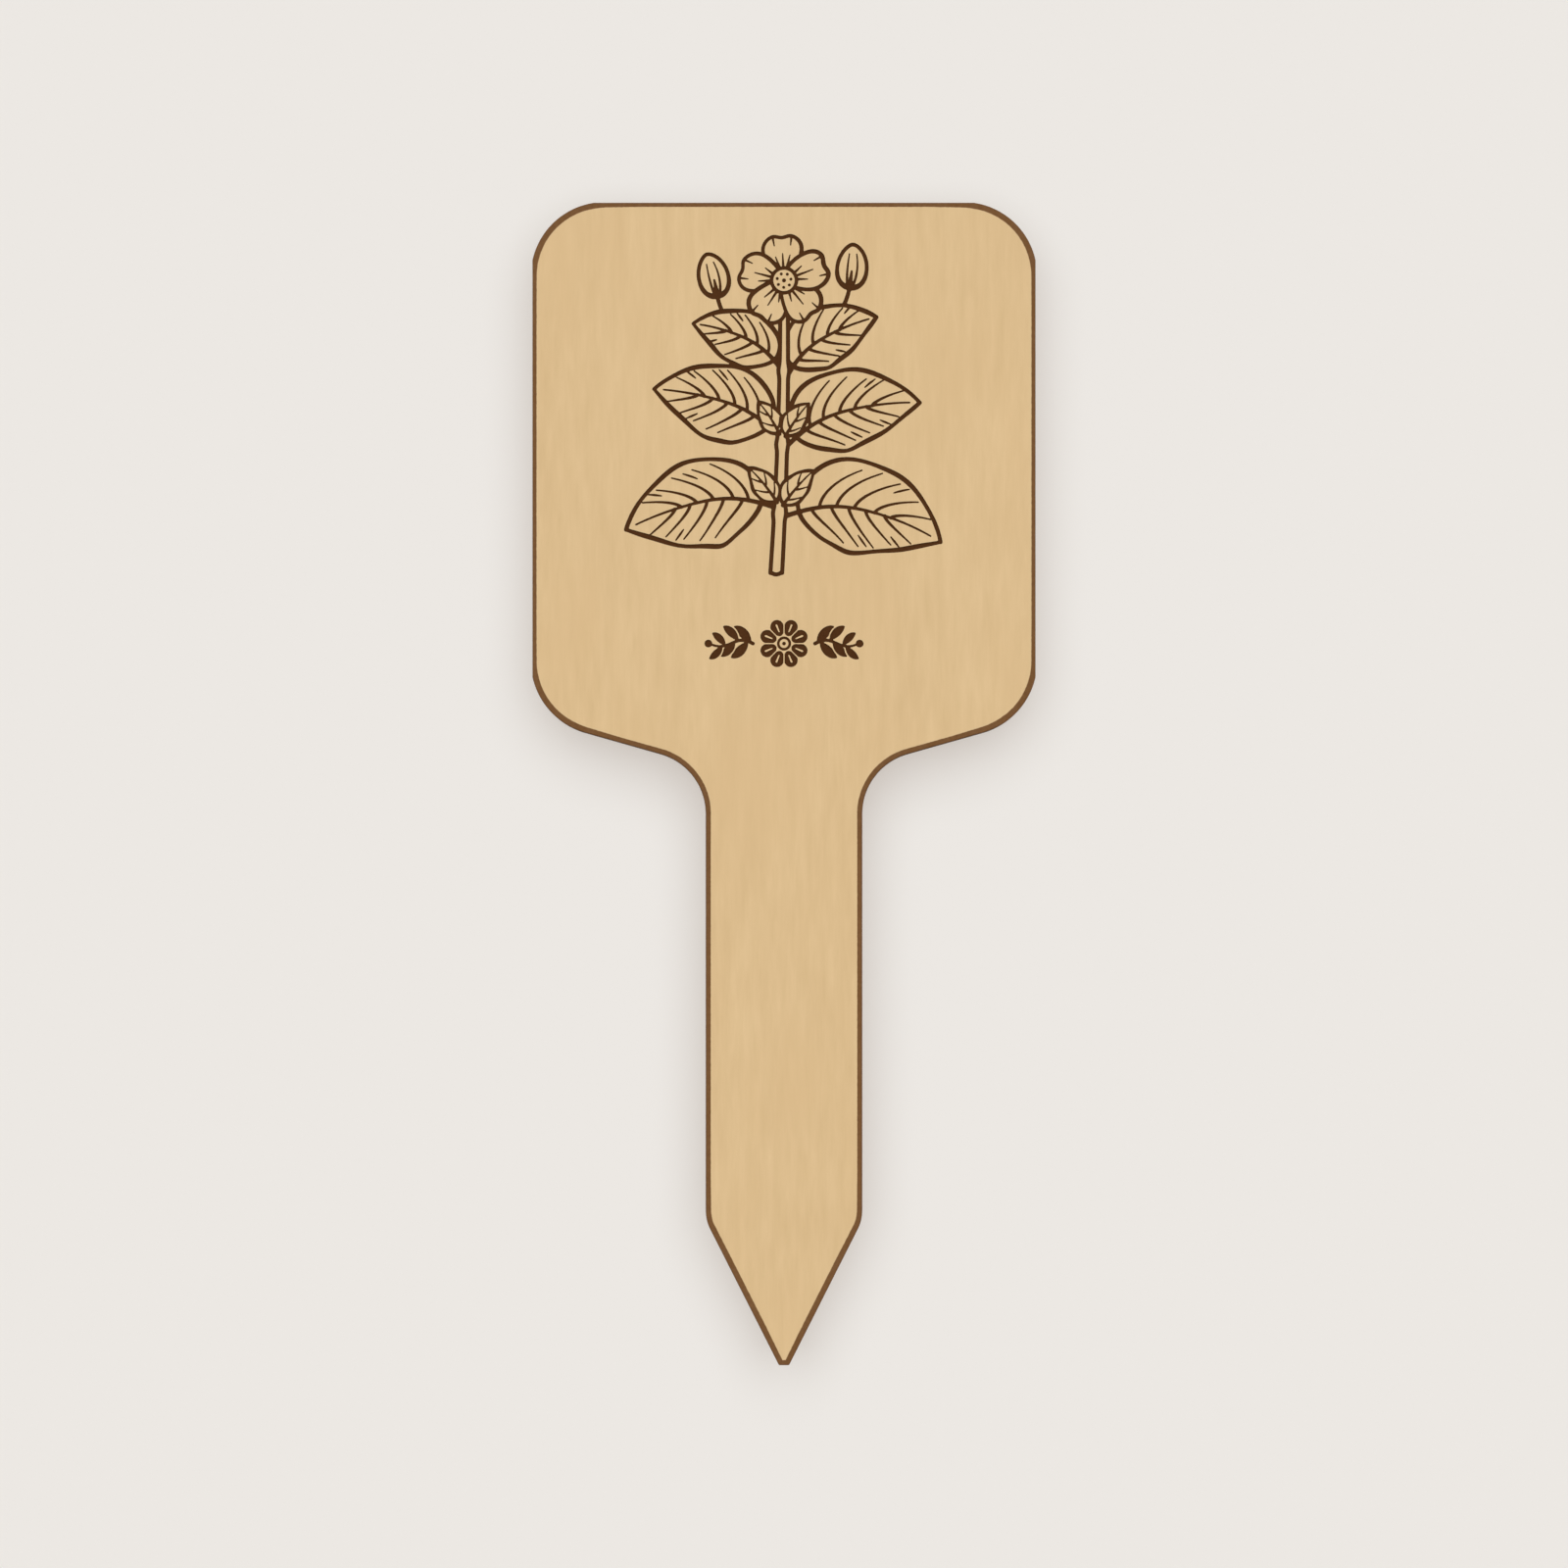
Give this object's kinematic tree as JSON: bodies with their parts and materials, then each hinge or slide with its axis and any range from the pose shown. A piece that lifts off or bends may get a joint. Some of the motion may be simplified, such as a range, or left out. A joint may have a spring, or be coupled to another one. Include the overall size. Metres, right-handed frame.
{
  "type": "plant label stake",
  "caption": "Flat three-ply wooden stake: a rounded square head with an engraved face on a straight stem whose point is pushed into soil.",
  "frame": {"origin": "middle of the blunt end of the point, halfway through the sheet's thickness", "axes": "+Z along the stake from the point to the head, +Y out of the plain back, so the engraved face looks along -Y, +X to the right of the engraved face as it is read"},
  "size_m": [0.065, 0.003, 0.15],
  "materials": {
    "face_veneer": "bare sanded veneer, engraved, with a scorched brown edge",
    "back_veneer": "bare sanded veneer, plain",
    "core_wood": "cross-grain ply, scorched dark brown where the cut shows it",
    "glue_film": "thin hard resin film, charred at the cut"
  },
  "bodies": {
    "root": {"front_veneer": "face_veneer", "front_glue_line": "glue_film", "core_ply": "core_wood", "back_glue_line": "glue_film", "back_veneer": "back_veneer"}
  },
  "joints": []
}
